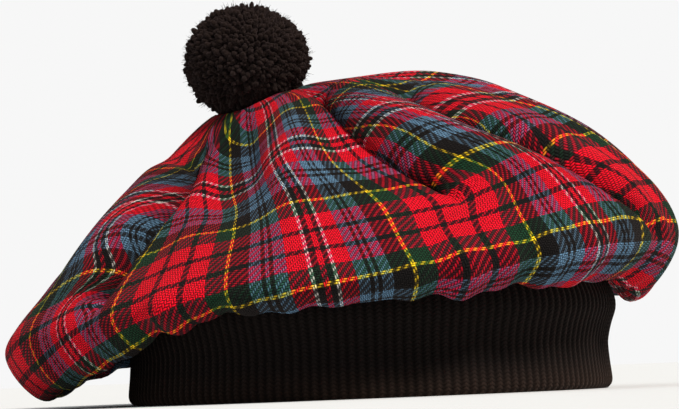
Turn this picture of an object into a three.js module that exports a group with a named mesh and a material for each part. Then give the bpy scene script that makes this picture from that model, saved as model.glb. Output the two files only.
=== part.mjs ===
// Tam o shanter: a tartan cloth crown gathered over a ribbed headband, with a wool pompom on top.
// Millimetres, +Z up. The band's rim rests on Z = 0, the front is -Y and the wearer's side lobe is -X.
import * as THREE from "three";

const BAND = { halfWidth: 94, halfDepth: 89, wall: 3.6, rimRound: 1.2, segments: 60 };
const CROWN = { wall: 2.2, segments: 76, rows: 25, lowRowsCrowd: 1.2 };
const FOLD_STEPS = 20;
const GATHER = {
  depth: 0.9,
  from: 0.6,
  most: 0.82,
  waves: [
    { count: 13, turn: 0.4 },
    { count: 9, turn: 2 },
  ],
};
const APEX = { x: -44, y: 0, z: 119, riseX: 0.32, riseY: 0.1, curve: 0.0045 };
const SEAM = { halfWidth: 93.2, halfDepth: 88.2, z: 42.5, lip: 5 };
const POMPOM = { x: -44, y: 0, z: 134.5, radius: 24.6, halfHeight: 22.4, lump: 1.1, gap: 0.5 };
const ALONG = { brow: 0.15, crest: 0.45, shoulder: 0.82 };

// The band's outer face: how far each height stands out from its waist.
const BAND_PROFILE = [
  { z: 0, out: -0.6 },
  { z: 1.2, out: 0.9 },
  { z: 3.6, out: 1.4 },
  { z: 10, out: 0.6 },
  { z: 18, out: 0 },
  { z: 25, out: 1.6 },
  { z: 31, out: 4 },
  { z: 36, out: 3.6 },
  { z: 42, out: 1 },
];

// The crown's form round the band: heights on the way out, the widest point and the roll under it.
const CROWN_FORM = [
  { azimuth: -180, crestZ: 83, shoulderZ: 46, tipR: 144, tipZ: 22, lowR: 127, lowZ: 3 },
  { azimuth: -165, crestZ: 82, shoulderZ: 48, tipR: 139, tipZ: 25, lowR: 121, lowZ: 7 },
  { azimuth: -148, crestZ: 83, shoulderZ: 52, tipR: 124, tipZ: 31, lowR: 109, lowZ: 17 },
  { azimuth: -130, crestZ: 83, shoulderZ: 55, tipR: 119, tipZ: 35, lowR: 108, lowZ: 28 },
  { azimuth: -110, crestZ: 88, shoulderZ: 60, tipR: 120, tipZ: 39, lowR: 109, lowZ: 32 },
  { azimuth: -90, crestZ: 96, shoulderZ: 64, tipR: 121, tipZ: 42, lowR: 109, lowZ: 34 },
  { azimuth: -70, crestZ: 99, shoulderZ: 68, tipR: 121, tipZ: 46, lowR: 110, lowZ: 36 },
  { azimuth: -50, crestZ: 106, shoulderZ: 79, tipR: 124, tipZ: 52, lowR: 111, lowZ: 39 },
  { azimuth: -28, crestZ: 114, shoulderZ: 87, tipR: 126, tipZ: 56, lowR: 110, lowZ: 40 },
  { azimuth: -8, crestZ: 123, shoulderZ: 96, tipR: 122, tipZ: 60, lowR: 107, lowZ: 34 },
  { azimuth: 12, crestZ: 128, shoulderZ: 104, tipR: 125, tipZ: 65, lowR: 107, lowZ: 35 },
  { azimuth: 35, crestZ: 127, shoulderZ: 102, tipR: 128, tipZ: 66, lowR: 108, lowZ: 38 },
  { azimuth: 60, crestZ: 120, shoulderZ: 89, tipR: 122, tipZ: 56, lowR: 108, lowZ: 35 },
  { azimuth: 90, crestZ: 112, shoulderZ: 78, tipR: 121, tipZ: 49, lowR: 109, lowZ: 31 },
  { azimuth: 120, crestZ: 104, shoulderZ: 70, tipR: 123, tipZ: 42, lowR: 110, lowZ: 27 },
  { azimuth: 150, crestZ: 92, shoulderZ: 58, tipR: 132, tipZ: 34, lowR: 116, lowZ: 15 },
];

// Tucks (pressed in) and rolls (stood out): each runs through three places on the crown, given by
// azimuth and by share of the way from the pompom to the seam.
const FOLDS = [
  { name: "left tuck", azimuth: [-153, -150, -148], share: [0.17, 0.42, 0.63], height: -13, width: 10 },
  { name: "left roll", azimuth: [-168, -166, -163], share: [0.2, 0.42, 0.62], height: 4, width: 13 },
  { name: "front tuck", azimuth: [-46, -61, -64], share: [0.14, 0.36, 0.61], height: -11, width: 10 },
  { name: "front roll", azimuth: [-32, -46, -51], share: [0.16, 0.34, 0.54], height: 5, width: 12 },
  { name: "front dip", azimuth: [-128, -121, -113], share: [0.14, 0.34, 0.54], height: -5, width: 15 },
  { name: "front ridge", azimuth: [-80, -93, -100], share: [0.16, 0.34, 0.54], height: 5, width: 10 },
  { name: "right tuck", azimuth: [-26, -34, -27], share: [0.25, 0.52, 0.8], height: -13, width: 10 },
  { name: "right roll", azimuth: [-50, -46, -40], share: [0.42, 0.6, 0.76], height: 6, width: 12 },
  { name: "back roll", azimuth: [-4, -14, -8], share: [0.4, 0.6, 0.8], height: 4, width: 12 },
  { name: "rear tuck", azimuth: [44, 62, 70], share: [0.16, 0.34, 0.56], height: -10, width: 10 },
  { name: "rear left tuck", azimuth: [140, 118, 108], share: [0.14, 0.32, 0.56], height: -10, width: 10 },
  { name: "rear roll", azimuth: [122, 98, 90], share: [0.16, 0.32, 0.5], height: 4, width: 12 },
  { name: "lobe dip", azimuth: [168, 164, 160], share: [0.26, 0.42, 0.6], height: -6, width: 11 },
];

function aroundCrown(column, azimuth) {
  const rows = CROWN_FORM;
  const count = rows.length;
  const turned = THREE.MathUtils.euclideanModulo(azimuth + 180, 360) - 180;
  let here = count - 1;
  for (let i = 0; i < count; i++) if (rows[i].azimuth <= turned) here = i;
  const row = (step) => {
    const index = here + step;
    const wrapped = THREE.MathUtils.euclideanModulo(index, count);
    return { a: rows[wrapped].azimuth + 360 * Math.floor(index / count), v: rows[wrapped][column] };
  };
  const [before, from, to, after] = [row(-1), row(0), row(1), row(2)];
  const span = to.a - from.a;
  const t = (turned - from.a) / span;
  const leave = ((to.v - before.v) / (to.a - before.a)) * span;
  const arrive = ((after.v - from.v) / (after.a - from.a)) * span;
  const t2 = t * t;
  const t3 = t2 * t;
  const held = (2 * t3 - 3 * t2 + 1) * from.v + (3 * t2 - 2 * t3) * to.v;
  return held + (t3 - 2 * t2 + t) * leave + (t3 - t2) * arrive;
}

// One line of the cloth from under the pompom, over the crown's edge and up to the seam.
function meridian(azimuth) {
  const angle = THREE.MathUtils.degToRad(azimuth);
  const [cos, sin] = [Math.cos(angle), Math.sin(angle)];
  const form = (column) => aroundCrown(column, azimuth);
  const tip = new THREE.Vector3(form("tipR") * cos, form("tipR") * sin, form("tipZ"));
  const onTheWay = (share, z) =>
    new THREE.Vector3(APEX.x + (tip.x - APEX.x) * share, APEX.y + (tip.y - APEX.y) * share, z);
  const brow = onTheWay(ALONG.brow, 0);
  const [dx, dy] = [brow.x - APEX.x, brow.y - APEX.y];
  brow.z = APEX.z + APEX.riseX * dx + APEX.riseY * dy - APEX.curve * (dx * dx + dy * dy);
  return new THREE.CatmullRomCurve3(
    [
      new THREE.Vector3(APEX.x, APEX.y, APEX.z),
      brow,
      onTheWay(ALONG.crest, form("crestZ")),
      onTheWay(ALONG.shoulder, form("shoulderZ")),
      tip,
      new THREE.Vector3(form("lowR") * cos, form("lowR") * sin, form("lowZ")),
      new THREE.Vector3((SEAM.halfWidth + SEAM.lip) * cos, (SEAM.halfDepth + SEAM.lip) * sin, SEAM.z),
      new THREE.Vector3(SEAM.halfWidth * cos, SEAM.halfDepth * sin, SEAM.z),
    ],
    false,
    "centripetal",
  );
}

// The cloth's outer face as rows of points, one row for each azimuth step.
function clothGrid(columns, rows) {
  return Array.from({ length: columns }, (_, i) => {
    const line = meridian(-180 + (360 * i) / columns);
    return Array.from({ length: rows + 1 }, (_, j) => {
      const share = 1 - (1 - j / rows) ** CROWN.lowRowsCrowd;
      return { point: line.getPointAt(share), share };
    });
  });
}

function faceNormals(grid) {
  const columns = grid.length;
  const rows = grid[0].length;
  return grid.map((line, i) =>
    line.map((_, j) => {
      const next = grid[(i + 1) % columns][Math.max(j, 1)].point;
      const last = grid[(i + columns - 1) % columns][Math.max(j, 1)].point;
      const down = line[Math.min(j + 1, rows - 1)].point;
      const up = line[Math.max(j - 1, 0)].point;
      const across = next.clone().sub(last);
      const normal = down.clone().sub(up).cross(across).normalize();
      return j === 0 ? new THREE.Vector3(0, 0, 1) : normal;
    }),
  );
}

function foldRoute(fold) {
  const stations = fold.azimuth.map((azimuth, k) => new THREE.Vector2(azimuth, fold.share[k]));
  return new THREE.SplineCurve(stations)
    .getPoints(FOLD_STEPS)
    .map((place) => meridian(place.x).getPointAt(place.y));
}

// A fold presses or lifts the cloth along its normal, most in the middle and nothing past its ends.
function pressFolds(grid, normals) {
  for (const fold of FOLDS) {
    const route = foldRoute(fold);
    grid.forEach((line, i) =>
      line.forEach((cell, j) => {
        const away = route.map((point) => point.distanceTo(cell.base));
        const nearest = Math.min(...away);
        const along = away.indexOf(nearest) / FOLD_STEPS;
        const fade = Math.sin(Math.PI * THREE.MathUtils.clamp(along, 0.05, 0.95)) ** 0.5;
        const press = fold.height * fade * Math.exp(-((nearest / fold.width) ** 2));
        cell.point.addScaledVector(normals[i][j], press);
      }),
    );
  }
}

// Small gathers where the cloth turns under and meets the band.
function gather(grid) {
  grid.forEach((line, i) => {
    const angle = (2 * Math.PI * i) / grid.length;
    const wave = GATHER.waves.reduce((sum, { count, turn }) => sum + Math.sin(count * angle + turn), 0);
    for (const { point, share } of line) {
      const strength = THREE.MathUtils.smoothstep(share, GATHER.from, GATHER.most);
      const held = 1 - THREE.MathUtils.smoothstep(share, GATHER.most, 1);
      point.z += GATHER.depth * wave * strength * held;
    }
  });
}

// The cloth sinks under the pompom, so the pompom sits in a dimple of its own.
function seatPompom(grid) {
  for (const line of grid)
    for (const { point } of line) {
      const out = Math.hypot(point.x - POMPOM.x, point.y - POMPOM.y) / (POMPOM.radius + POMPOM.lump);
      if (out >= 1) continue;
      const under = POMPOM.z - (POMPOM.halfHeight + POMPOM.lump) * Math.sqrt(1 - out * out) - POMPOM.gap;
      point.z = Math.min(point.z, under);
    }
}

function crownCloth() {
  const grid = clothGrid(CROWN.segments, CROWN.rows);
  for (const line of grid) for (const cell of line) cell.base = cell.point.clone();
  pressFolds(grid, faceNormals(grid));
  gather(grid);
  seatPompom(grid);
  const normals = faceNormals(grid);
  const side = (i, j) => {
    const back = 2 * CROWN.rows + 1 - j;
    if (j > CROWN.rows) return grid[i][back].point;
    return grid[i][j].point.clone().addScaledVector(normals[i][j], -CROWN.wall);
  };
  const profile = Array.from({ length: 2 * CROWN.rows + 2 }, (_, j) => new THREE.Vector2(1, j));
  const geometry = new THREE.LatheGeometry(profile, CROWN.segments);
  const place = geometry.getAttribute("position");
  for (let i = 0; i <= CROWN.segments; i++)
    for (let j = 0; j < profile.length; j++) {
      const at = side(i % CROWN.segments, j);
      place.setXYZ(i * profile.length + j, at.x, at.y, at.z);
    }
  geometry.computeVertexNormals();
  return geometry;
}

// The band's inner face follows every second height of its outer one.
function headbandRing() {
  const outer = BAND_PROFILE.map(({ z, out }) => new THREE.Vector2(BAND.halfWidth + out, z));
  const inner = outer
    .filter((_, k) => k % 2 === 0)
    .map(({ x, y }) => new THREE.Vector2(x - BAND.wall, y))
    .reverse();
  inner.at(-1).x += BAND.rimRound;
  const geometry = new THREE.LatheGeometry([...outer, ...inner, outer[0]], BAND.segments);
  geometry.rotateX(Math.PI / 2);
  geometry.scale(1, BAND.halfDepth / BAND.halfWidth, 1);
  return geometry;
}

function pompomBall() {
  const geometry = new THREE.SphereGeometry(1, 24, 14);
  geometry.rotateX(Math.PI / 2);
  const place = geometry.getAttribute("position");
  for (let i = 0; i < place.count; i++) {
    const way = new THREE.Vector3().fromBufferAttribute(place, i);
    const wave = Math.sin(5 * way.x + 1) * Math.sin(4 * way.y + 2) * Math.sin(6 * way.z);
    const radius = POMPOM.radius + POMPOM.lump * wave;
    const height = POMPOM.halfHeight + POMPOM.lump * wave;
    place.setXYZ(i, POMPOM.x + way.x * radius, POMPOM.y + way.y * radius, POMPOM.z + way.z * height);
  }
  geometry.computeVertexNormals();
  return geometry;
}

function piece(name, geometry, color, roughness) {
  const mesh = new THREE.Mesh(geometry, new THREE.MeshStandardMaterial({ color, roughness, metalness: 0 }));
  mesh.name = name;
  return mesh;
}

const hat = new THREE.Group();
hat.add(piece("crown", crownCloth(), 0xb01020, 0.9));
hat.add(piece("headband", headbandRing(), 0x141212, 0.95));
hat.add(piece("pompom", pompomBall(), 0x120f10, 1));

// The origin is the middle of the whole hat's box, on the surface that the rim rests on.
const box = new THREE.Box3().setFromObject(hat);
hat.position.set(-(box.min.x + box.max.x) / 2, -(box.min.y + box.max.y) / 2, -box.min.z);

export default hat;
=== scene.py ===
import math

import bmesh
import bpy
import numpy as np
from mathutils import Matrix, Vector


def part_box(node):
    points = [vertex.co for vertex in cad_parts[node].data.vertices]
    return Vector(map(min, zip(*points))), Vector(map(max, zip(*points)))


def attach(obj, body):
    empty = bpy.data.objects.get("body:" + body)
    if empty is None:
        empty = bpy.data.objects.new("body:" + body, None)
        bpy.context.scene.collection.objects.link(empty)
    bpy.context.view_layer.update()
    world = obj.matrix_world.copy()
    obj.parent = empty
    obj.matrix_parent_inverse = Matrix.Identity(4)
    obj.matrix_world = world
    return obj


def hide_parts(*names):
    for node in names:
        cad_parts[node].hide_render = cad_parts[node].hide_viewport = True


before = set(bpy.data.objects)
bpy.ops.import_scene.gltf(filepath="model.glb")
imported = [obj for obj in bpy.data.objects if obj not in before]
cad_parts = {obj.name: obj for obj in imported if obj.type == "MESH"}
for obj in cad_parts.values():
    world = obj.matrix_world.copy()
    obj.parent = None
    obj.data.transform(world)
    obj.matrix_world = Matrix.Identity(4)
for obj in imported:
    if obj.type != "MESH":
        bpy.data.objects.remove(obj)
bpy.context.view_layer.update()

# Tam o shanter: tartan crown, ribbed knit headband and wool pompom.
# The tables of the crown and band are in millimetres from the middle of the band's rim.
mm = 0.001
bandLow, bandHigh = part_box("headband")
pomLow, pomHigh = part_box("pompom")
bandCentre = np.array([(bandLow.x + bandHigh.x) / 2, (bandLow.y + bandHigh.y) / 2, bandLow.z])
pomCentre = (np.array((pomLow + pomHigh) / 2) - bandCentre) / mm
pomHalf = np.array((pomHigh - pomLow) / 2) / mm


def toRow(points):
    return np.asarray(points) * mm + bandCentre


def smoothStep(value, low, high):
    t = np.clip((value - low) / (high - low), 0, 1)
    return t * t * (3 - 2 * t)


def newPiece(name, mesh, material):
    piece = bpy.data.objects.new(name, mesh)
    bpy.context.scene.collection.objects.link(piece)
    mesh.materials.append(material)
    mesh.polygons.foreach_set("use_smooth", [True] * len(mesh.polygons))
    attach(piece, "root")
    return piece


# One call makes a node, links or sets its inputs in order and gives its output.
def addNode(tree, kind, *inputs, out=0, **settings):
    node = tree.nodes.new(kind)
    for name, value in settings.items():
        setattr(node, name, value)
    for place, value in enumerate(inputs):
        if value is None:
            continue
        if isinstance(value, bpy.types.NodeSocket):
            tree.links.new(value, node.inputs[place])
        else:
            node.inputs[place].default_value = value
    return node.outputs[out]


def calc(tree, operation, *inputs):
    return addNode(tree, "ShaderNodeMath", *inputs, operation=operation)


def mixColour(tree, factor, first, second, blend="MIX"):
    otherKinds = [None] * 5  # inputs of the node's other kinds, before its two colours
    return addNode(
        tree, "ShaderNodeMix", factor, *otherKinds, first, second,
        out=2, data_type="RGBA", blend_type=blend,
    )


def noise(tree, place, look):
    return addNode(tree, "ShaderNodeTexNoise", place, None, look["scale"], look["detail"])


def scaled(tree, value, look):
    return calc(tree, "MULTIPLY_ADD", value, look["gain"], look["base"])


def newMaterial(name, roughness, sheen, sheenTint, specular):
    material = bpy.data.materials.new(name)
    material.use_nodes = True
    tree = material.node_tree
    shader = tree.nodes["Principled BSDF"]
    shader.inputs["Roughness"].default_value = roughness
    shader.inputs["Sheen Weight"].default_value = sheen
    shader.inputs["Sheen Roughness"].default_value = 0.5
    shader.inputs["Sheen Tint"].default_value = (*sheenTint, 1)
    shader.inputs["Specular IOR Level"].default_value = specular
    return material, tree, shader


def addBump(tree, shader, height, bumpLook):
    strength, distance = bumpLook
    bump = tree.nodes.new("ShaderNodeBump")
    bump.inputs["Strength"].default_value = strength
    bump.inputs["Distance"].default_value = distance
    tree.links.new(height, bump.inputs["Height"])
    tree.links.new(bump.outputs["Normal"], shader.inputs["Normal"])


# The tartan is a 2/2 twill whose threads repeat one sett both ways, mirrored at its pivots.
tartan = {
    "pitch": 60 / 73,  # millimetres from thread to thread
    "halfSett": 73,  # threads from one pivot to the other
    "repeat": 4.0,  # threads from one float to the next, of which it lies over two
    "over": 1.5,
    "threads": [  # up to which thread of the half sett, and its yarn
        (1.5, "red"), (4.5, "black"), (6.5, "white"), (15.5, "red"), (21.5, "azure"),
        (23.5, "black"), (25.5, "azure"), (27.5, "black"), (33.5, "azure"), (43.5, "black"),
        (45.5, "yellow"), (54.5, "green"), (64.5, "red"), (67.5, "black"), (73.5, "red"),
    ],
    "yarns": {
        "red": (0.80, 0.0008, 0.016),
        "black": (0.005, 0.0042, 0.0042),
        "white": (0.90, 0.80, 0.74),
        "azure": (0.10, 0.20, 0.31),
        "yellow": (0.95, 0.62, 0.012),
        "green": (0.005, 0.034, 0.014),
    },
    "blend": 0.66,  # how far the two yarns of a crossing mix
    "floatRound": 0.9,  # how far a float curves down to its sides, in quarter turns
    "floatArch": 0.6,  # how much of its height comes from its arch
    "floatLight": {"power": 2.0, "gain": 1.9, "base": 0.02, "most": 1.15},
    "cloudy": {"scale": 900.0, "detail": 3.0, "gain": 1.4, "base": 0.36},
    "patchy": {"scale": 70.0, "detail": 2.0, "gain": 0.3, "base": 0.85},
    "inTucks": {"gain": -0.95, "base": 1.0},
    "fluff": 0.5,
    "bump": (0.8, 0.0006),
    "surface": {"roughness": 0.9, "sheen": 0.03, "sheenTint": (1, 0.75, 0.7), "specular": 0.1},
}


def stripeColour(tree, thread):
    folded = calc(tree, "PINGPONG", thread, float(tartan["halfSett"]))
    place = calc(tree, "DIVIDE", folded, tartan["halfSett"] + 1.0)
    ramp = tree.nodes.new("ShaderNodeValToRGB")
    ramp.color_ramp.interpolation = "CONSTANT"
    start = 0.0
    for index, (end, yarn) in enumerate(tartan["threads"]):
        stop = ramp.color_ramp.elements[0] if index == 0 else ramp.color_ramp.elements.new(start)
        stop.color = (*tartan["yarns"][yarn], 1)
        start = end / (tartan["halfSett"] + 1.0)
    tree.links.new(place, ramp.inputs["Fac"])
    return ramp.outputs["Color"]


def tartanCloth():
    material, tree, shader = newMaterial("tartanCloth", **tartan["surface"])
    flatMap = addNode(tree, "ShaderNodeUVMap", uv_map="flatCloth")
    split = tree.nodes.new("ShaderNodeSeparateXYZ")
    tree.links.new(flatMap, split.inputs[0])
    perThread = 1 / (tartan["pitch"] * mm)
    across = calc(tree, "MULTIPLY", split.outputs["X"], perThread)
    along = calc(tree, "MULTIPLY", split.outputs["Y"], perThread)
    warp = calc(tree, "ROUND", across)
    weft = calc(tree, "ROUND", along)
    step = calc(tree, "FLOORED_MODULO", calc(tree, "SUBTRACT", warp, weft), tartan["repeat"])
    warpOnTop = calc(tree, "LESS_THAN", step, tartan["over"])

    # Each float is a small hump, two threads long and round across. The shift puts its arch over
    # its own two threads.
    def hump(mine, thread, other, otherSide, shift):
        side = calc(tree, "SUBTRACT", mine, thread)
        roundness = calc(tree, "COSINE", calc(tree, "MULTIPLY", side, math.pi * tartan["floatRound"]))
        run = calc(tree, "SUBTRACT", otherSide, other)
        run = calc(tree, "FLOORED_MODULO", calc(tree, "ADD", run, shift), tartan["repeat"])
        arch = calc(tree, "SINE", calc(tree, "MULTIPLY", run, math.pi / 2))
        arch = calc(tree, "MULTIPLY", arch, tartan["floatArch"])
        return calc(tree, "MULTIPLY", roundness, calc(tree, "ADD", arch, 1 - tartan["floatArch"]))

    warpHump = hump(across, warp, along, warp, 0.5)
    weftHump = hump(along, weft, weft, across, -1.5)
    height = addNode(tree, "ShaderNodeMix", warpOnTop, None, weftHump, warpHump, data_type="FLOAT")
    warpColour = stripeColour(tree, warp)
    weftColour = stripeColour(tree, weft)
    colour = mixColour(tree, warpOnTop, weftColour, warpColour)
    # Fibres of the crossing yarns blend, so mixed stripes look darker than their yarns. The blend
    # is the square root of the two colours' product.
    both = mixColour(tree, 1.0, warpColour, weftColour, "MULTIPLY")
    blended = addNode(tree, "ShaderNodeGamma", both, 0.5)
    colour = mixColour(tree, tartan["blend"], colour, blended)

    # Floats are painted lit and the gaps between them painted in shade. Yarns vary along their length,
    # and cloth deep in a tuck gets painted shade.
    floatLight = tartan["floatLight"]
    shade = calc(tree, "POWER", calc(tree, "MAXIMUM", height, 0.0), floatLight["power"])
    shade = calc(tree, "MINIMUM", scaled(tree, shade, floatLight), floatLight["most"])
    body = addNode(tree, "ShaderNodeTexCoord", out=3)
    cloudy = noise(tree, body, tartan["cloudy"])
    patchy = noise(tree, body, tartan["patchy"])
    paintedTuckShade = addNode(tree, "ShaderNodeAttribute", attribute_name="paintedTuckShade", out=2)
    shade = calc(tree, "MULTIPLY", shade, scaled(tree, cloudy, tartan["cloudy"]))
    shade = calc(tree, "MULTIPLY", shade, scaled(tree, patchy, tartan["patchy"]))
    shade = calc(tree, "MULTIPLY", shade, scaled(tree, paintedTuckShade, tartan["inTucks"]))
    colour = addNode(tree, "ShaderNodeHueSaturation", None, None, shade, None, colour)
    tree.links.new(colour, shader.inputs["Base Color"])
    bumpHeight = calc(tree, "ADD", height, calc(tree, "MULTIPLY", cloudy, tartan["fluff"]))
    addBump(tree, shader, bumpHeight, tartan["bump"])
    return material


# The crown's form. Lengths are millimetres, and brow, crest and shoulder are shares of the level
# way from the apex to the tip.
crown = {
    "columns": 408,
    "rows": 120,
    "lowRowsCrowd": 1.12,
    "wall": 1.9,
    "flat": (0.39, 0.39),
    "area": 0.118,
    "seam": {"halfWidth": 93.2, "halfDepth": 88.2, "z": 42.5, "lip": 5},
    "apex": {"x": -44, "y": 0, "z": 119, "riseX": 0.32, "riseY": 0.1, "curve": 0.0045},
    "brow": 0.15,
    "crest": 0.45,
    "shoulder": 0.82,
    "afterFolds": {"passes": 3, "strength": 0.5},
    "afterWrinkles": {"passes": 1, "strength": 0.4},
    "pompomRoom": {"beside": 0.6, "under": 0.5},
}
formColumns = ("azimuth", "crestZ", "shoulderZ", "tipR", "tipZ", "lowR", "lowZ")
crownForm = [
    (-180, 83, 46, 144, 22, 127, 3),
    (-165, 82, 48, 139, 25, 121, 7),
    (-148, 83, 52, 124, 31, 109, 17),
    (-130, 83, 55, 119, 35, 108, 28),
    (-110, 88, 60, 120, 39, 109, 32),
    (-90, 96, 64, 121, 42, 109, 34),
    (-70, 99, 68, 121, 46, 110, 36),
    (-50, 106, 79, 124, 52, 111, 39),
    (-28, 114, 87, 126, 56, 110, 40),
    (-8, 123, 96, 122, 60, 107, 34),
    (12, 128, 104, 125, 65, 107, 35),
    (35, 127, 102, 128, 66, 108, 38),
    (60, 120, 89, 122, 56, 108, 35),
    (90, 112, 78, 121, 49, 109, 31),
    (120, 104, 70, 123, 42, 110, 27),
    (150, 92, 58, 132, 34, 116, 15),
]
# Where columns of cloth stand closer: azimuth, how wide a stretch and how much closer.
crowded = [(-154, 16, 1.6), (-60, 20, 1.3), (-20, 16, 0.8)]


# A table's column at any azimuth, as a smooth curve that closes on itself.
def around(rows, column, azimuth):
    at = np.array([row[0] for row in rows], float)
    value = np.array([row[column] for row in rows], float)
    at = np.concatenate([at[-2:] - 360, at, at[:2] + 360])
    value = np.concatenate([value[-2:], value, value[:2]])
    turned = (np.asarray(azimuth, float) + 180) % 360 - 180
    here = np.clip(np.searchsorted(at, turned, side="right") - 1, 1, len(at) - 3)
    span = at[here + 1] - at[here]
    t = (turned - at[here]) / span
    leave = (value[here + 1] - value[here - 1]) / (at[here + 1] - at[here - 1]) * span
    arrive = (value[here + 2] - value[here]) / (at[here + 2] - at[here]) * span
    held = (2 * t**3 - 3 * t**2 + 1) * value[here] + (3 * t**2 - 2 * t**3) * value[here + 1]
    return held + (t**3 - 2 * t**2 + t) * leave + (t**3 - t**2) * arrive


def meridianStations(azimuth):
    form = {name: around(crownForm, k, azimuth) for k, name in enumerate(formColumns) if k}
    cos, sin = np.cos(np.radians(azimuth)), np.sin(np.radians(azimuth))
    apex, seam = crown["apex"], crown["seam"]
    tip = np.stack([form["tipR"] * cos, form["tipR"] * sin, form["tipZ"]], -1)

    def onTheWay(share, z):
        x = apex["x"] + (tip[:, 0] - apex["x"]) * share
        y = apex["y"] + (tip[:, 1] - apex["y"]) * share
        return np.stack([x, y, z], -1)

    top = np.tile([apex["x"], apex["y"], apex["z"]], (len(azimuth), 1)).astype(float)
    brow = onTheWay(crown["brow"], np.zeros(len(azimuth)))
    dx, dy = brow[:, 0] - apex["x"], brow[:, 1] - apex["y"]
    rise = apex["riseX"] * dx + apex["riseY"] * dy
    brow[:, 2] = apex["z"] + rise - apex["curve"] * (dx**2 + dy**2)
    low = np.stack([form["lowR"] * cos, form["lowR"] * sin, form["lowZ"]], -1)
    level = np.full(len(azimuth), float(seam["z"]))
    lip = np.stack(
        [(seam["halfWidth"] + seam["lip"]) * cos, (seam["halfDepth"] + seam["lip"]) * sin, level], -1
    )
    edge = np.stack([seam["halfWidth"] * cos, seam["halfDepth"] * sin, level], -1)
    crest = onTheWay(crown["crest"], form["crestZ"])
    shoulder = onTheWay(crown["shoulder"], form["shoulderZ"])
    return np.stack([top, brow, crest, shoulder, tip, low, lip, edge], 1)


# For each azimuth, a smooth line from the apex to the seam, and how far along it each point is.
# Its stations are spaced by the square root of their distance, so that close ones make no loops.
def meridians(azimuth, steps=30):
    p = meridianStations(azimuth)
    p = np.concatenate([2 * p[:, :1] - p[:, 1:2], p, 2 * p[:, -1:] - p[:, -2:-1]], 1)
    gap = np.sum((p[:, 1:] - p[:, :-1]) ** 2, -1) ** 0.25
    t = (np.arange(steps) / steps)[None, :, None]
    runs = []
    for k in range(1, p.shape[1] - 2):
        d0, d1, d2 = gap[:, k - 1, None], gap[:, k, None], gap[:, k + 1, None]
        p0, p1, p2, p3 = p[:, k - 1], p[:, k], p[:, k + 1], p[:, k + 2]
        leave = ((p1 - p0) / d0 - (p2 - p0) / (d0 + d1) + (p2 - p1) / d1) * d1
        arrive = ((p2 - p1) / d1 - (p3 - p1) / (d1 + d2) + (p3 - p2) / d2) * d1
        a, b = p1[:, None], leave[:, None]
        c = (3 * (p2 - p1) - 2 * leave - arrive)[:, None]
        d = (2 * (p1 - p2) + leave + arrive)[:, None]
        runs.append(a + b * t + c * t**2 + d * t**3)
    line = np.concatenate(runs + [p[:, -2:-1]], 1)
    length = np.cumsum(np.linalg.norm(np.diff(line, axis=1), axis=-1), axis=1)
    return line, np.concatenate([np.zeros((len(azimuth), 1)), length], 1)


# Share is the share of the way from the apex to the seam, along the cloth.
def clothAt(azimuth, share):
    line, length = meridians(azimuth)
    found = np.empty((len(azimuth), 3))
    for i, (points, run) in enumerate(zip(line, length)):
        for axis in range(3):
            found[i, axis] = np.interp(share[i] * run[-1], run, points[:, axis])
    return found


def clothGrid(azimuth, share):
    line, length = meridians(azimuth)
    grid = np.empty((len(azimuth), len(share), 3))
    for i, (points, run) in enumerate(zip(line, length)):
        for axis in range(3):
            grid[i, :, axis] = np.interp(share * run[-1], run, points[:, axis])
    return grid


def gridNormals(grid):
    across = np.roll(grid, -1, 0) - np.roll(grid, 1, 0)
    across[:, 0] = across[:, 1]
    normal = np.cross(np.gradient(grid, axis=1), across)
    normal /= np.maximum(np.linalg.norm(normal, axis=-1, keepdims=True), 1e-9)
    normal[:, 0] = (0, 0, 1)
    return normal


# Folds run through three places, given by azimuth and by share of the way to the seam. A fold
# with a roll is a tuck: the cloth at its side rolls over it (positive: clockwise from above).
folds = [  # name, azimuths, shares, height, width, roll
    ("left tuck", (-154, -151, -148), (0.17, 0.42, 0.64), -22, 15, -13),
    ("left roll", (-172, -169, -166), (0.2, 0.42, 0.62), 1.5, 14, 0),
    ("front tuck", (-46, -61, -64), (0.14, 0.36, 0.62), -15, 13, 11),
    ("front roll", (-30, -45, -50), (0.16, 0.34, 0.52), 4, 13, 0),
    ("front dip", (-128, -121, -113), (0.14, 0.34, 0.54), -6, 15, 0),
    ("front ridge", (-80, -93, -100), (0.16, 0.34, 0.54), 6, 10, 0),
    ("right tuck", (-26, -34, -27), (0.25, 0.52, 0.8), -17, 12, 10),
    ("right roll", (-50, -46, -40), (0.42, 0.6, 0.76), 5, 12, 0),
    ("back roll", (-4, -14, -8), (0.4, 0.6, 0.8), 4, 12, 0),
    ("rear tuck", (44, 62, 70), (0.16, 0.34, 0.56), -9, 12, 7),
    ("rear left tuck", (140, 118, 108), (0.14, 0.32, 0.56), -9, 12, 7),
    ("rear roll", (122, 98, 90), (0.16, 0.32, 0.5), 4, 12, 0),
    ("lobe dip", (168, 164, 160), (0.26, 0.42, 0.6), -6, 11, 0),
]
foldSteps = 60
foldEnds = (0.05, 0.95)  # a fold fades towards both ends, but not to nothing
tuckEnds = (0.02, 0.5)
# Painted shade in a tuck: the depth at which it is full, and how far it reaches, in radii of the roll on
# the rolled side and in millimetres elsewhere.
tuckShade = {"fullDepth": 19, "onRoll": 1.05, "elsewhere": 4.5}
# The line of rolled cloth from the tuck's bottom: how far away and how high. Both are in radii
# of the roll, but for the first three heights, which are in depths of the tuck.
rollAway = (0, -0.6, -0.95, -0.1, 1.2, 2.8)
rollHigh = (-1, -0.6, -0.1, 0.6, 0.5, 0)
rollSmoothing = 60


def throughThree(values, t):
    a, b, c = values
    return a * (1 - t) * (1 - 2 * t) + 4 * b * t * (1 - t) + c * t * (2 * t - 1)


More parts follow.
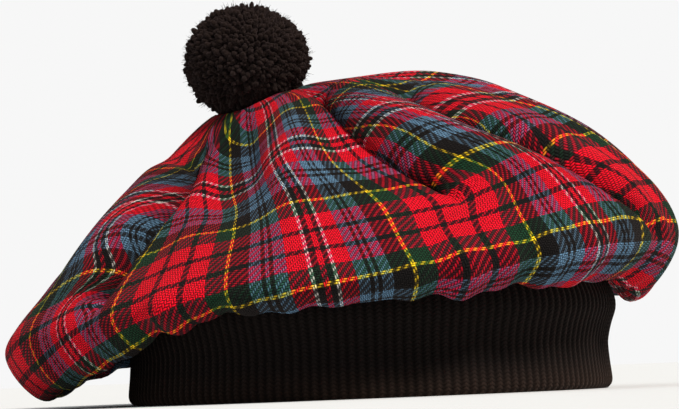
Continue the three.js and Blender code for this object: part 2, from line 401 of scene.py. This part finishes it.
def rolledLine(depth, radius, part):
    away = np.array(rollAway) * radius
    high = np.array(rollHigh) * np.where(np.arange(6) < 3, depth, radius)
    steps = np.linspace(0, 5, 101)
    smooth = [np.interp(steps, np.arange(6), line) for line in (away, high)]
    for _ in range(rollSmoothing):
        for line in smooth:
            line[1:-1] = (line[:-2] + 2 * line[1:-1] + line[2:]) / 4
    run = np.concatenate([[0], np.cumsum(np.hypot(*np.diff(smooth, axis=1)))])
    return [np.interp(part * run[-1], run, line) for line in smooth]


def pressFolds(base, normal):
    shape = base.shape
    flat = base.reshape(-1, 3)
    normals = normal.reshape(-1, 3)
    moved = flat.copy()
    paintedTuckShade = np.zeros(len(flat))
    t = np.linspace(0, 1, foldSteps + 1)
    for _, azimuths, shares, height, width, roll in folds:
        route = clothAt(throughThree(azimuths, t), throughThree(shares, t))
        reach = max(3 * width, 3 * abs(roll))
        low, high = route.min(0) - reach, route.max(0) + reach
        near = np.flatnonzero(((flat > low) & (flat < high)).all(1))
        away = np.linalg.norm(flat[near, None] - route[None], axis=-1)
        nearest = away.argmin(1)
        distance = away[np.arange(len(near)), nearest]
        fade = np.sin(np.pi * np.clip(t[nearest], *foldEnds)) ** 0.5
        if not roll:
            press = height * fade * np.exp(-((distance / width) ** 2))
            moved[near] += normals[near] * press[:, None]
            continue
        tangent = np.gradient(route, axis=0)[nearest]
        side = np.cross(normals[near], tangent)
        side *= np.sign(roll) / np.linalg.norm(side, axis=1, keepdims=True)
        onRoll = np.sum(side * (flat[near] - route[nearest]), 1) > 0
        groove = np.clip(1 - distance / width, 0, 1)
        press = height * (1 - np.sqrt(1 - groove**2))
        span = rollAway[-1] * abs(roll)
        across, lift = rolledLine(-height, abs(roll), np.clip(distance / span, 0, 1))
        across = np.where(distance < span, across - distance, 0)
        inTuck = smoothStep(np.sin(np.pi * t[nearest]), *tuckEnds)
        middle = inTuck * onRoll
        # Cloth near a tuck's bottom gets painted shade, fuller for deeper tucks.
        deep = min(1, (height / tuckShade["fullDepth"]) ** 2)
        narrow = np.where(onRoll, tuckShade["onRoll"] * abs(roll), tuckShade["elsewhere"])
        inside = inTuck * deep * np.exp(-((distance / narrow) ** 2))
        paintedTuckShade[near] = np.maximum(paintedTuckShade[near], inside)
        press += (lift - press) * middle
        moved[near] += normals[near] * (press * fade)[:, None]
        moved[near] += side * (across * middle * fade)[:, None]
    return moved.reshape(shape), paintedTuckShade.reshape(shape[:2])


# Small wrinkles all over, and gathers near the seam: waves round the crown.
wrinkles = {
    "seed": 5,
    "waves": 26,
    "roundCounts": (5, 26),
    "slant": 4,
    "slantTurns": 6,
    "dome": 0.5,
    "gather": 1.5,
    "gatherCounts": (13, 19, 24, 31, 37, 44),
    "gatherSum": 2.2,
    "phases": 6.3,
    "domeGrows": (0.1, 0.3),  # shares of the way to the seam, as are the next three
    "domeEases": (0.5, 0.7),
    "gatherGrows": (0.66, 0.84),
    "gatherEnds": (0.9, 1),
}


def addWrinkles(grid, normal, azimuth, share):
    rng = np.random.default_rng(wrinkles["seed"])
    angle = np.radians(azimuth)[:, None]
    down = share[None, :]
    dome = np.zeros(grid.shape[:2])
    for _ in range(wrinkles["waves"]):
        count = rng.integers(*wrinkles["roundCounts"])
        high = rng.normal()
        slant = rng.uniform(-wrinkles["slant"], wrinkles["slant"]) * down * wrinkles["slantTurns"]
        dome += high * np.sin(count * angle + slant + rng.uniform(0, wrinkles["phases"]))
    dome *= wrinkles["dome"] / math.sqrt(wrinkles["waves"] / 2)
    eased = 0.5 * smoothStep(down, *wrinkles["domeEases"])
    dome *= smoothStep(down, *wrinkles["domeGrows"]) * (1 - eased)
    tucked = np.zeros(len(azimuth))
    for count in wrinkles["gatherCounts"]:
        high = rng.uniform(0.5, 1)
        tucked += high * np.sin(count * angle[:, 0] + rng.uniform(0, wrinkles["phases"]))
    tucked = tucked[:, None] * wrinkles["gather"] / wrinkles["gatherSum"]
    ended = smoothStep(down, *wrinkles["gatherEnds"])
    strength = smoothStep(down, *wrinkles["gatherGrows"]) * (1 - ended)
    return grid + normal * (dome + tucked * strength)[..., None]


def seatPompom(grid):
    room = crown["pompomRoom"]
    halfWidth, halfHeight = pomHalf[0] + room["beside"], pomHalf[2] + room["beside"]
    out = np.hypot(grid[..., 0] - pomCentre[0], grid[..., 1] - pomCentre[1]) / halfWidth
    under = pomCentre[2] - halfHeight * np.sqrt(np.clip(1 - out**2, 0, 1)) - room["under"]
    grid[..., 2] = np.where(out < 1, np.minimum(grid[..., 2], under), grid[..., 2])
    return grid


def relax(grid, passes, strength):
    for _ in range(passes):
        inner = grid[:, 1:-1]
        around4 = np.roll(inner, 1, 0) + np.roll(inner, -1, 0) + grid[:, :-2] + grid[:, 2:]
        grid = grid.copy()
        grid[:, 1:-1] = inner + strength * (around4 / 4 - inner)
    return grid


# Places on the flat cloth, in millimetres: across by azimuth, and along from the low line, which
# runs round the crown at a distance from the seam. Panels of cloth are taken in at the tucks.
warpAt = [
    (-180, -204), (-163, -156), (-154.5, -120), (-142, -84), (-115, -36), (-97, 0), (-82.3, 36),
    (-59, 84), (-46, 120), (-36.5, 156), (0, 230), (60, 367), (120, 505), (180, 636),
]
lowLine = [
    (-180, 50), (-160, 44), (-146, 37), (-132, 29), (-118, 31), (-100, 37), (-84, 41), (-66, 45),
    (-48, 49), (-28, 49), (0, 49), (45, 46), (90, 42), (135, 45),
]
lowLinePlace = -84
topLift = {"from": 0.16, "to": 0.34, "along": 12}
panels = [  # the tuck it starts at, and the way its cloth runs from the pompom
    ("left tuck", -82), ("front tuck", -38), ("right tuck", 15),
    ("rear tuck", 75), ("rear left tuck", 125), ("lobe dip", 187),
]
lean = {"from": 0.55, "full": 0.35, "steps": 200}
# Where the tucks pull cloth along: azimuth, share, how wide and long a patch, across and along.
pulled = [
    (-57, 0.6, 12, 0.1, -15, 0), (-128, 0.3, 22, 0.16, 10, 0), (-110, 0.24, 34, 0.1, 0, 9),
    (-74, 0.6, 9, 0.1, -5, 0), (-151, 0.6, 6, 0.06, 14, 0), (-160, 0.65, 6, 0.08, -9, 0),
    (-30, 0.72, 8, 0.07, -15, 0),
]
widthHeld = {"ratios": (0.7, 3), "above": (0.06, 0.14), "below": (0.42, 0.6)}


def panelOf(azimuth, share):
    byName = {fold[0]: fold for fold in folds}
    found = np.zeros(len(azimuth), int)
    borders = []
    for name, _ in panels:
        _, at, down = byName[name][:3]
        borders.append(np.interp(share, down, at))
    start = borders[0]
    turned = (azimuth - start) % 360
    for k in range(1, len(panels)):
        found += turned >= (borders[k] - start) % 360
    return found


def flatPlace(azimuth, share, panel):
    known = np.arange(-180, 181.0)
    tip = meridianStations(known)[:, 4]
    apex = crown["apex"]
    heading = np.degrees(np.arctan2(tip[:, 1] - apex["y"], tip[:, 0] - apex["x"]))
    off = (heading - known + 180) % 360 - 180
    turned = (azimuth + 180) % 360 - 180
    full = np.interp(turned, known, meridians(known)[1][:, -1])
    heading = turned + np.interp(turned, known, off)
    panelHeading = np.array([row[1] for row in panels])[panel]
    turn = np.radians((heading - panelHeading + 180) % 360 - 180)
    # The panel's cloth lies straight near the pompom and follows the meridians further down.
    steps = np.linspace(0, 1, lean["steps"] + 1)
    weight = 1 - smoothStep(steps, lean["full"], lean["from"])
    summed = np.concatenate([[0], np.cumsum((weight[1:] + weight[:-1]) / 2)]) / lean["steps"]
    domed = (summed[-1] - np.interp(share, steps, summed)) * full
    fromSeam = (1 - share) * full - around(lowLine, 1, azimuth)
    lift = topLift["along"] * (1 - smoothStep(share, topLift["from"], topLift["to"]))
    wound = (warpAt[-1][1] - warpAt[0][1]) * np.floor((azimuth + 180) / 360)
    across = np.interp(turned, [row[0] for row in warpAt], [row[1] for row in warpAt]) + wound
    along = lowLinePlace + fromSeam - (1 - np.cos(turn)) * domed + lift
    return np.stack([across - np.sin(turn) * domed, along], -1)


def pullOf(azimuth, share):
    moved = np.zeros((len(azimuth), 2))
    for at, down, wide, long, across, along in pulled:
        off = (azimuth - at + 180) % 360 - 180
        weight = np.exp(-((off / wide) ** 2) - ((share - down) / long) ** 2)
        moved += weight[:, None] * (across, along)
    return moved


def panelMiddles(share):
    byName = {fold[0]: fold for fold in folds}
    starts = [np.interp(share, byName[name][2], byName[name][1]) for name, _ in panels]
    ends = starts[1:] + [starts[0]]
    return np.array([start + ((end - start) % 360) / 2 for start, end in zip(starts, ends)])


# Turns round the crown, grown where folds take up more cloth, so that its threads keep their width.
def widthRound(unfolded, folded, azimuth, share):
    step = np.diff(np.append(azimuth, azimuth[0] + 360))
    plain = np.linalg.norm(np.roll(unfolded, -1, 0) - unfolded, axis=-1)
    actual = np.linalg.norm(np.roll(folded, -1, 0) - folded, axis=-1)
    ratio = np.clip(actual / np.maximum(plain, 1e-6), *widthHeld["ratios"])
    held = smoothStep(share, *widthHeld["above"]) * (1 - smoothStep(share, *widthHeld["below"]))
    grown = step[:, None] * (1 + (ratio - 1) * held)
    return np.concatenate([np.zeros((1, len(share))), np.cumsum(grown, 0)])


def clothTurn(turns, row, width, columns):
    rounds = np.floor(turns / columns)
    place = turns - rounds * columns
    low = np.minimum(np.floor(place).astype(int), columns - 1)
    part = place - low
    found = width[low, row] * (1 - part) + width[low + 1, row] * part
    return found + rounds * width[-1, row]


# The azimuth of each column of cloth, closer together where the table says so.
def columnAzimuths():
    fine = np.linspace(-180, 180, 3601)
    density = np.ones(len(fine))
    for at, width, more in crowded:
        density += more * np.exp(-(((fine - at) / width) ** 2))
    grown = np.concatenate([[0], np.cumsum((density[1:] + density[:-1]) / 2)])
    return np.interp(np.arange(crown["columns"]) / crown["columns"], grown / grown[-1], fine)


# A flat disc spun from one row of points: its rings are shares and its turns are azimuths.
def flatDisc(columns, rows):
    bm = bmesh.new()
    chain = [bm.verts.new((j / rows, 0, 0)) for j in range(rows + 1)]
    edges = [bm.edges.new(pair) for pair in zip(chain, chain[1:])]
    bmesh.ops.spin(
        bm, geom=chain + edges, cent=(0, 0, 0), axis=(0, 0, 1), angle=2 * math.pi,
        steps=columns, use_merge=True,
    )
    bmesh.ops.remove_doubles(bm, verts=bm.verts, dist=1e-6)
    bmesh.ops.recalc_face_normals(bm, faces=bm.faces)
    bm.faces.ensure_lookup_table()
    if bm.faces[0].normal.z < 0:
        bmesh.ops.reverse_faces(bm, faces=bm.faces)
    mesh = bpy.data.meshes.new("crown")
    bm.to_mesh(mesh)
    bm.free()
    return mesh


# The column and row of each of the disc's vertices.
def discPlaces(mesh, columns, rows):
    place = np.empty(len(mesh.vertices) * 3)
    mesh.vertices.foreach_get("co", place)
    place = place.reshape(-1, 3)
    turn = np.degrees(np.arctan2(place[:, 1], place[:, 0])) % 360
    column = np.round(turn / 360 * columns).astype(int) % columns
    row = np.round(np.hypot(place[:, 0], place[:, 1]) * rows).astype(int)
    return column, row


# Each face's corners get their places on the flat cloth of the face's own panel.
def mapFlatCloth(mesh, column, row, azimuth, share, clothWidth):
    columns = len(azimuth)
    vertexOf = np.empty(len(mesh.loops), int)
    mesh.loops.foreach_get("vertex_index", vertexOf)
    sizes = np.empty(len(mesh.polygons), int)
    mesh.polygons.foreach_get("loop_total", sizes)
    faceOf = np.repeat(np.arange(len(sizes)), sizes)
    loopColumn = column[vertexOf].astype(float)
    loopRow = row[vertexOf]
    # A face's columns count on past the start of the round. The pole takes its face's column.
    polar = loopRow == 0
    first = np.full(len(sizes), -1.0)
    order = np.flatnonzero(~polar)[::-1]
    first[faceOf[order]] = loopColumn[order]
    offset = (loopColumn - first[faceOf] + columns / 2) % columns - columns / 2
    offset[polar] = 0
    turns = first[faceOf] + offset
    wrapped = np.append(azimuth, azimuth[0] + 360)
    count = np.arange(columns + 1)
    rounds = np.floor(turns / columns)
    loopAzimuth = np.interp(turns - rounds * columns, count, wrapped) + 360 * rounds
    loopShare = share[loopRow]
    faceAzimuth = np.bincount(faceOf, loopAzimuth) / sizes
    faceShare = np.bincount(faceOf, loopShare) / sizes
    panel = panelOf(faceAzimuth, faceShare)[faceOf]
    # The width of cloth is counted both ways from the panel's middle.
    middle = panelMiddles(share)[panel, loopRow]
    middle += 360 * np.round((loopAzimuth - middle) / 360)
    middleRounds = np.floor((middle + 180) / 360)
    middleTurn = np.interp(middle - 360 * middleRounds, wrapped, count) + columns * middleRounds
    fromMiddle = clothTurn(turns, loopRow, clothWidth, columns)
    fromMiddle -= clothTurn(middleTurn, loopRow, clothWidth, columns)
    flat = flatPlace(middle + fromMiddle, loopShare, panel) + pullOf(loopAzimuth, loopShare)
    flatMap = mesh.uv_layers.new(name="flatCloth")
    flatMap.data.foreach_set("uv", (flat * mm).ravel())


def makeCrown():
    azimuth = columnAzimuths()
    share = 1 - (1 - np.arange(crown["rows"] + 1) / crown["rows"]) ** crown["lowRowsCrowd"]
    unfolded = clothGrid(azimuth, share)
    grid, paintedTuckShade = pressFolds(unfolded, gridNormals(unfolded))
    grid = relax(grid, **crown["afterFolds"])
    clothWidth = widthRound(unfolded, grid, azimuth, share)
    grid = addWrinkles(grid, gridNormals(grid), azimuth, share)
    grid = seatPompom(grid)
    grid = relax(grid, **crown["afterWrinkles"])

    mesh = flatDisc(crown["columns"], crown["rows"])
    column, row = discPlaces(mesh, crown["columns"], crown["rows"])
    mapFlatCloth(mesh, column, row, azimuth, share, clothWidth)
    # The painted shade of the tucks goes on the vertices, where the cloth's colour reads it.
    shaded = mesh.attributes.new("paintedTuckShade", "FLOAT", "POINT")
    shaded.data.foreach_set("value", paintedTuckShade[column, row])
    mesh.vertices.foreach_set("co", toRow(grid[column, row]).ravel())
    mesh.update()
    piece = newPiece("crownCloth", mesh, tartanCloth())
    wall = piece.modifiers.new("wall", "SOLIDIFY")
    wall.thickness = crown["wall"] * mm
    wall.offset = -1
    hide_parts("crown")
    print("crown:", len(mesh.polygons), "faces")


# The headband is a ring of rib knit, in millimetres.
band = {
    "halfWidth": 94,
    "halfDepth": 89,
    "wall": 3.4,
    "ribs": 170,
    "ribDepth": 0.42,
    "perRib": 4,
    "stitch": 1.5,
    "flat": (0.575, 0.048),
    "outer": [  # height and how far out from the waist
        (0, -0.6), (1.2, 0.9), (3.6, 1.4), (10, 0.6), (18, 0), (25, 1.6), (31, 4), (36, 3.6), (41.6, 1),
    ],
    "rimHeights": (0, 4, 7),  # from, to and how many
    "wallHeights": (5.5, 41.6, 24),
    "smoothed": 2,
    "rimTurn": (1.0, 0.3),  # how far the rim's inner edge turns out and up
    "ribsFrom": 1.7,  # how far inside the waist the ribs begin
    "ribsFade": (4, 0.25),  # the height of full ribs, and what shows at the rim
    "colour": (0.008, 0.006, 0.0056, 1),
    "rimColour": (0.020, 0.012, 0.009, 1),
    "rimBlendHeight": 0.012,
    "legLean": 1.4,
    "fuzz": {"scale": 1400.0, "detail": 3.0, "gain": 0.8, "base": 0.6},
    "crestLight": {"gain": 0.35, "base": 0.75},
    "stitchLight": {"gain": 0.5, "base": 0.6},
    "relief": {"rib": 0.5, "stitch": 0.6, "fuzz": 0.6},
    "bump": (0.8, 0.0005),
    "surface": {"roughness": 0.95, "sheen": 0.05, "sheenTint": (0.75, 0.5, 0.4), "specular": 0.06},
}


def ribbedKnit():
    material, tree, shader = newMaterial("ribbedKnit", **band["surface"])
    knitMap = addNode(tree, "ShaderNodeUVMap", uv_map="ribs")
    split = tree.nodes.new("ShaderNodeSeparateXYZ")
    tree.links.new(knitMap, split.inputs[0])
    rib = calc(tree, "MULTIPLY", split.outputs["X"], float(band["ribs"]))
    side = calc(tree, "SUBTRACT", calc(tree, "FRACT", rib), 0.5)
    crest = calc(tree, "COSINE", calc(tree, "MULTIPLY", side, 2 * math.pi))
    # Each stitch is a V: its two legs lean towards the rib's middle.
    leg = calc(tree, "MULTIPLY", calc(tree, "ABSOLUTE", side), band["legLean"])
    course = calc(tree, "DIVIDE", split.outputs["Y"], band["stitch"] * mm)
    stitch = calc(tree, "FRACT", calc(tree, "ADD", course, leg))
    stitch = calc(tree, "SINE", calc(tree, "MULTIPLY", stitch, math.pi))
    body = addNode(tree, "ShaderNodeTexCoord", out=3)
    fuzz = noise(tree, body, band["fuzz"])
    relief = band["relief"]
    height = calc(tree, "MULTIPLY", crest, relief["rib"])
    height = calc(tree, "ADD", height, calc(tree, "MULTIPLY", stitch, relief["stitch"]))
    height = calc(tree, "ADD", height, calc(tree, "MULTIPLY", fuzz, relief["fuzz"]))
    # The band turns browner and lighter towards its bottom edge.
    low = addNode(tree, "ShaderNodeSeparateXYZ", body, out=2)
    nearRim = addNode(tree, "ShaderNodeMapRange", low, 0.0, band["rimBlendHeight"], 1.0, 0.0)
    colour = mixColour(tree, nearRim, band["colour"], band["rimColour"])
    lit = scaled(tree, crest, band["crestLight"])
    lit = calc(tree, "MULTIPLY", lit, scaled(tree, stitch, band["stitchLight"]))
    lit = calc(tree, "MULTIPLY", lit, scaled(tree, fuzz, band["fuzz"]))
    colour = addNode(tree, "ShaderNodeHueSaturation", None, None, lit, None, colour)
    tree.links.new(colour, shader.inputs["Base Color"])
    addBump(tree, shader, height, band["bump"])
    return material


def makeHeadband():
    outer = np.array(band["outer"], float)
    z = np.concatenate([np.linspace(*band["rimHeights"]), np.linspace(*band["wallHeights"])])
    face = np.interp(z, outer[:, 0], outer[:, 1])
    for _ in range(band["smoothed"]):
        face[1:-1] = (face[:-2] + 2 * face[1:-1] + face[2:]) / 4
    ring = [(band["halfWidth"] + out, height) for out, height in zip(face, z)]
    inside = [(x - band["wall"], height) for x, height in ring[::-3]]  # a third of the rows
    rimOut, rimUp = band["rimTurn"]
    inside[-1] = (inside[-1][0] + rimOut, inside[-1][1] + rimUp)
    steps = band["ribs"] * band["perRib"]
    bm = bmesh.new()
    chain = [bm.verts.new((x * mm, 0, height * mm)) for x, height in ring + inside]
    edges = [bm.edges.new((a, b)) for a, b in zip(chain, chain[1:] + chain[:1])]
    bmesh.ops.spin(
        bm, geom=chain + edges, cent=(0, 0, 0), axis=(0, 0, 1), angle=2 * math.pi,
        steps=steps, use_merge=True,
    )
    bmesh.ops.recalc_face_normals(bm, faces=bm.faces)
    uv = bm.loops.layers.uv.new("ribs")
    for faceHere in bm.faces:
        middle = faceHere.calc_center_median()
        at = math.atan2(middle.y, middle.x)
        for loop in faceHere.loops:
            co = loop.vert.co
            turn = (math.atan2(co.y, co.x) - at + math.pi) % (2 * math.pi) - math.pi
            loop[uv].uv = ((at + turn) / (2 * math.pi) + 0.5, co.z)
    fullAt, atRim = band["ribsFade"]
    for vert in bm.verts:
        angle = math.atan2(vert.co.y, vert.co.x)
        radius = math.hypot(vert.co.x, vert.co.y)
        outside = radius > (band["halfWidth"] - band["ribsFrom"]) * mm
        swell = band["ribDepth"] * mm * (0.5 - 0.5 * math.cos(band["ribs"] * angle))
        fade = min(1, vert.co.z / (fullAt * mm) + atRim) * outside
        scale = (radius - (band["ribDepth"] * mm - swell) * fade) / radius
        vert.co.x *= scale
        vert.co.y *= scale * band["halfDepth"] / band["halfWidth"]
        vert.co += Vector(bandCentre)
    mesh = bpy.data.meshes.new("headband")
    bm.to_mesh(mesh)
    bm.free()
    piece = newPiece("knitBand", mesh, ribbedKnit())
    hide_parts("headband")
    print("headband:", len(mesh.polygons), "faces")


# The pompom is many cut ends of yarn round a core, with loose fibres between them. Widths and
# stray are millimetres, and the other sizes are shares of its half width.
pom = {
    "core": 0.84,
    "yarns": 3000,
    "yarnWidth": 2.25,
    "yarnSpread": (0.75, 1.25),
    "yarnRoot": 0.6,
    "yarnRings": [(0, 0.6), (0.4, 0.9), (0.75, 1.05), (0.92, 0.85), (1, 0.4)],  # height and width
    "yarnBends": (0, 0.2, 0.4),
    "yarnSides": 5,
    "reach": 0.95,
    "ragged": 0.013,
    "stray": 0.7,
    "fibres": 3200,
    "fibreWidth": 0.2,
    "fibreRings": [(0, 1), (0.6, 0.9), (1, 0.3)],
    "fibreBend": 1.5,
    "fibreSides": 3,
    "fibreRoot": 0.86,
    "fibreReach": (0.96, 1.025),
    "waver": 0.035,
    "spin": 6.28,
    "seed": 11,
    "lumpWidth": 0.5,
    "lumps": [  # direction and how far the outline stands out there
        ((-0.5, -0.3, 0.9), 0.05), ((0.2, -0.2, 1.0), 0.03), ((1.0, -0.3, 0.25), 0.06),
        ((-1.0, 0.1, 0.3), 0.04), ((-0.7, -0.4, -0.7), 0.06), ((0.7, -0.6, -0.5), 0.02),
        ((0.5, 0.9, 0.3), 0.05), ((-0.4, 0.9, -0.1), 0.03), ((0, -1, 0.1), 0.03),
    ],
    "colours": [(0.003, 0.0021, 0.0017, 1), (0.021, 0.0130, 0.0100, 1)],
    "patchy": {"scale": 330.0, "detail": 2.0},
    "fuzz": {"scale": 2600.0, "detail": 3.0, "gain": 1.4, "base": 0.3},
    "bump": (1.0, 0.0007),
    "surface": {"roughness": 1.0, "sheen": 0.1, "sheenTint": (0.6, 0.42, 0.45), "specular": 0.05},
}


def woolPile():
    material, tree, shader = newMaterial("woolPile", **pom["surface"])
    body = addNode(tree, "ShaderNodeTexCoord", out=3)
    patchy = noise(tree, body, pom["patchy"])
    fuzz = noise(tree, body, pom["fuzz"])
    colour = mixColour(tree, patchy, *pom["colours"])
    lit = scaled(tree, fuzz, pom["fuzz"])
    colour = addNode(tree, "ShaderNodeHueSaturation", None, None, lit, None, colour)
    tree.links.new(colour, shader.inputs["Base Color"])
    addBump(tree, shader, fuzz, pom["bump"])
    return material


def lumpAt(way):
    width = pom["lumpWidth"]
    return 1 + sum(high * math.exp(-((way.angle(Vector(at)) / width) ** 2)) for at, high in pom["lumps"])


# One strand, one unit long: its rings are heights and widths from the root to the tip.
def strand(sides, rings, bend):
    bm = bmesh.new()
    made = bmesh.ops.create_circle(bm, cap_ends=False, segments=sides, radius=0.5 * rings[0][1])
    edges = list({edge for vert in made["verts"] for edge in vert.link_edges})
    for high, wide in rings[1:]:
        grown = bmesh.ops.extrude_edge_only(bm, edges=edges)["geom"]
        edges = [item for item in grown if isinstance(item, bmesh.types.BMEdge)]
        for vert in [item for item in grown if isinstance(item, bmesh.types.BMVert)]:
            angle = math.atan2(vert.co.y, vert.co.x)
            vert.co = Vector((math.cos(angle) * wide / 2, math.sin(angle) * wide / 2, high))
    bmesh.ops.contextual_create(bm, geom=edges)
    for vert in bm.verts:
        vert.co.x += bend * vert.co.z**2
    bmesh.ops.recalc_face_normals(bm, faces=bm.faces)
    mesh = bpy.data.meshes.new("strand")
    bm.to_mesh(mesh)
    bm.free()
    return mesh


def evenWays(count, rng):
    goldenTurn = math.pi * (3 - math.sqrt(5))
    for i in range(count):
        z = 1 - (2 * i + 1) / count
        flat = math.sqrt(1 - z * z)
        way = Vector((flat * math.cos(goldenTurn * i), flat * math.sin(goldenTurn * i), z))
        yield (way + Vector(rng.normal(0, pom["waver"], 3))).normalized()


def addStrand(bm, mesh, inner, outer, wide, turn):
    aim = outer - inner
    turned = aim.to_track_quat("Z", "Y").to_matrix().to_4x4() @ Matrix.Rotation(turn, 4, "Z")
    matrix = Matrix.Translation(inner) @ turned @ Matrix.Diagonal((wide, wide, aim.length, 1))
    mesh.transform(matrix)
    bm.from_mesh(mesh)
    mesh.transform(matrix.inverted())


def makePompom():
    rng = np.random.default_rng(pom["seed"])
    centre = Vector(toRow(pomCentre))
    half = Matrix.Diagonal(Vector(pomHalf * mm))
    bm = bmesh.new()
    bmesh.ops.create_icosphere(bm, subdivisions=4, radius=1)
    for vert in bm.verts:
        vert.co = centre + half @ vert.co * pom["core"] * lumpAt(vert.co)
    yarns = [strand(pom["yarnSides"], pom["yarnRings"], bend) for bend in pom["yarnBends"]]
    stray = pom["stray"] * mm
    for i, way in enumerate(evenWays(pom["yarns"], rng)):
        reach = lumpAt(way) * (pom["reach"] + pom["ragged"] * rng.normal())
        inner = centre + half @ way * reach * pom["yarnRoot"]
        outer = centre + half @ way * reach + Vector(rng.normal(0, stray, 3))
        wide = pom["yarnWidth"] * mm * rng.uniform(*pom["yarnSpread"])
        addStrand(bm, yarns[i % len(yarns)], inner, outer, wide, rng.uniform(0, pom["spin"]))
    fibre = strand(pom["fibreSides"], pom["fibreRings"], pom["fibreBend"])
    for way in evenWays(pom["fibres"], rng):
        reach = lumpAt(way) * rng.uniform(*pom["fibreReach"])
        inner = centre + half @ way * pom["fibreRoot"]
        outer = centre + half @ way * reach + Vector(rng.normal(0, stray, 3))
        addStrand(bm, fibre, inner, outer, pom["fibreWidth"] * mm, rng.uniform(0, pom["spin"]))
    mesh = bpy.data.meshes.new("pompom")
    bm.to_mesh(mesh)
    bm.free()
    piece = newPiece("woolPompom", mesh, woolPile())
    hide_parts("pompom")
    print("pompom:", len(mesh.polygons), "faces")


# Floor, light and camera, in metres and degrees.
studio = {
    "floorSize": 60,
    "floorDrop": 0.0002,
    "floorColour": (0.675, 0.69, 0.70),
    "floorRoughness": 0.9,
    "backdrop": 0.93,
    "ambient": 0.34,
    "lights": [  # name, azimuth, elevation, how soft, strength, colour
        ("key", 42, 48, 12, 4.3, (1.0, 0.95, 0.88)),
        ("fill", -60, 35, 60, 0.35, (0.9, 0.95, 1.0)),
    ],
    "distance": 1.15,
    "height": 0.009,
    "roll": 2.25,
    "viewWidth": 0.2685,
    "aim": (0.001, 0.0, 0.0762),
    "sensor": 36,
    "farthest": 200,
}


def makeStudio():
    bm = bmesh.new()
    bmesh.ops.create_grid(bm, x_segments=1, y_segments=1, size=studio["floorSize"] / 2)
    mesh = bpy.data.meshes.new("floor")
    bm.to_mesh(mesh)
    bm.free()
    floor = bpy.data.objects.new("floor", mesh)
    floor.location.z = bandLow.z - studio["floorDrop"]
    bpy.context.scene.collection.objects.link(floor)
    material = bpy.data.materials.new("paleFloor")
    material.use_nodes = True
    shader = material.node_tree.nodes["Principled BSDF"]
    shader.inputs["Base Color"].default_value = (*studio["floorColour"], 1)
    shader.inputs["Roughness"].default_value = studio["floorRoughness"]
    mesh.materials.append(material)
    world = bpy.data.worlds.new("studio")
    bpy.context.scene.world = world
    world.use_nodes = True
    # The backdrop looks as pale as the floor, while less light comes from it.
    tree = world.node_tree
    seen = tree.nodes.new("ShaderNodeLightPath").outputs["Is Camera Ray"]
    more = studio["backdrop"] - studio["ambient"]
    strength = calc(tree, "MULTIPLY_ADD", seen, more, studio["ambient"])
    tree.links.new(strength, tree.nodes["Background"].inputs["Strength"])
    tree.nodes["Background"].inputs["Color"].default_value = (1, 1, 1, 1)
    aim = Vector(studio["aim"])
    for name, azimuth, elevation, soft, strength, colour in studio["lights"]:
        data = bpy.data.lights.new(name, "SUN")
        data.angle = math.radians(soft)
        data.energy = strength
        data.color = colour
        light = bpy.data.objects.new(name, data)
        a, e = math.radians(azimuth), math.radians(elevation)
        back = Vector((math.sin(a) * math.cos(e), -math.cos(a) * math.cos(e), math.sin(e)))
        light.location = aim + back
        light.rotation_euler = (-back).to_track_quat("-Z", "Y").to_euler()
        bpy.context.scene.collection.objects.link(light)
    data = bpy.data.cameras.new("camera")
    camera = bpy.data.objects.new("camera", data)
    data.sensor_width = studio["sensor"]
    data.lens = studio["sensor"] * studio["distance"] / studio["viewWidth"]
    data.clip_end = studio["farthest"]
    # The camera stands just above the floor and looks a little up at the crown.
    camera.location = (aim.x, -studio["distance"], studio["height"])
    back = (camera.location - aim).normalized()
    level = (-back).to_track_quat("-Z", "Y").to_matrix()
    rolled = level @ Matrix.Rotation(-math.radians(studio["roll"]), 3, "Z")
    camera.rotation_euler = rolled.to_euler()
    bpy.context.scene.collection.objects.link(camera)
    bpy.context.scene.camera = camera
    bpy.context.scene.view_settings.view_transform = "Standard"
    print("studio ready")


makeCrown()
makeHeadband()
makePompom()
makeStudio()
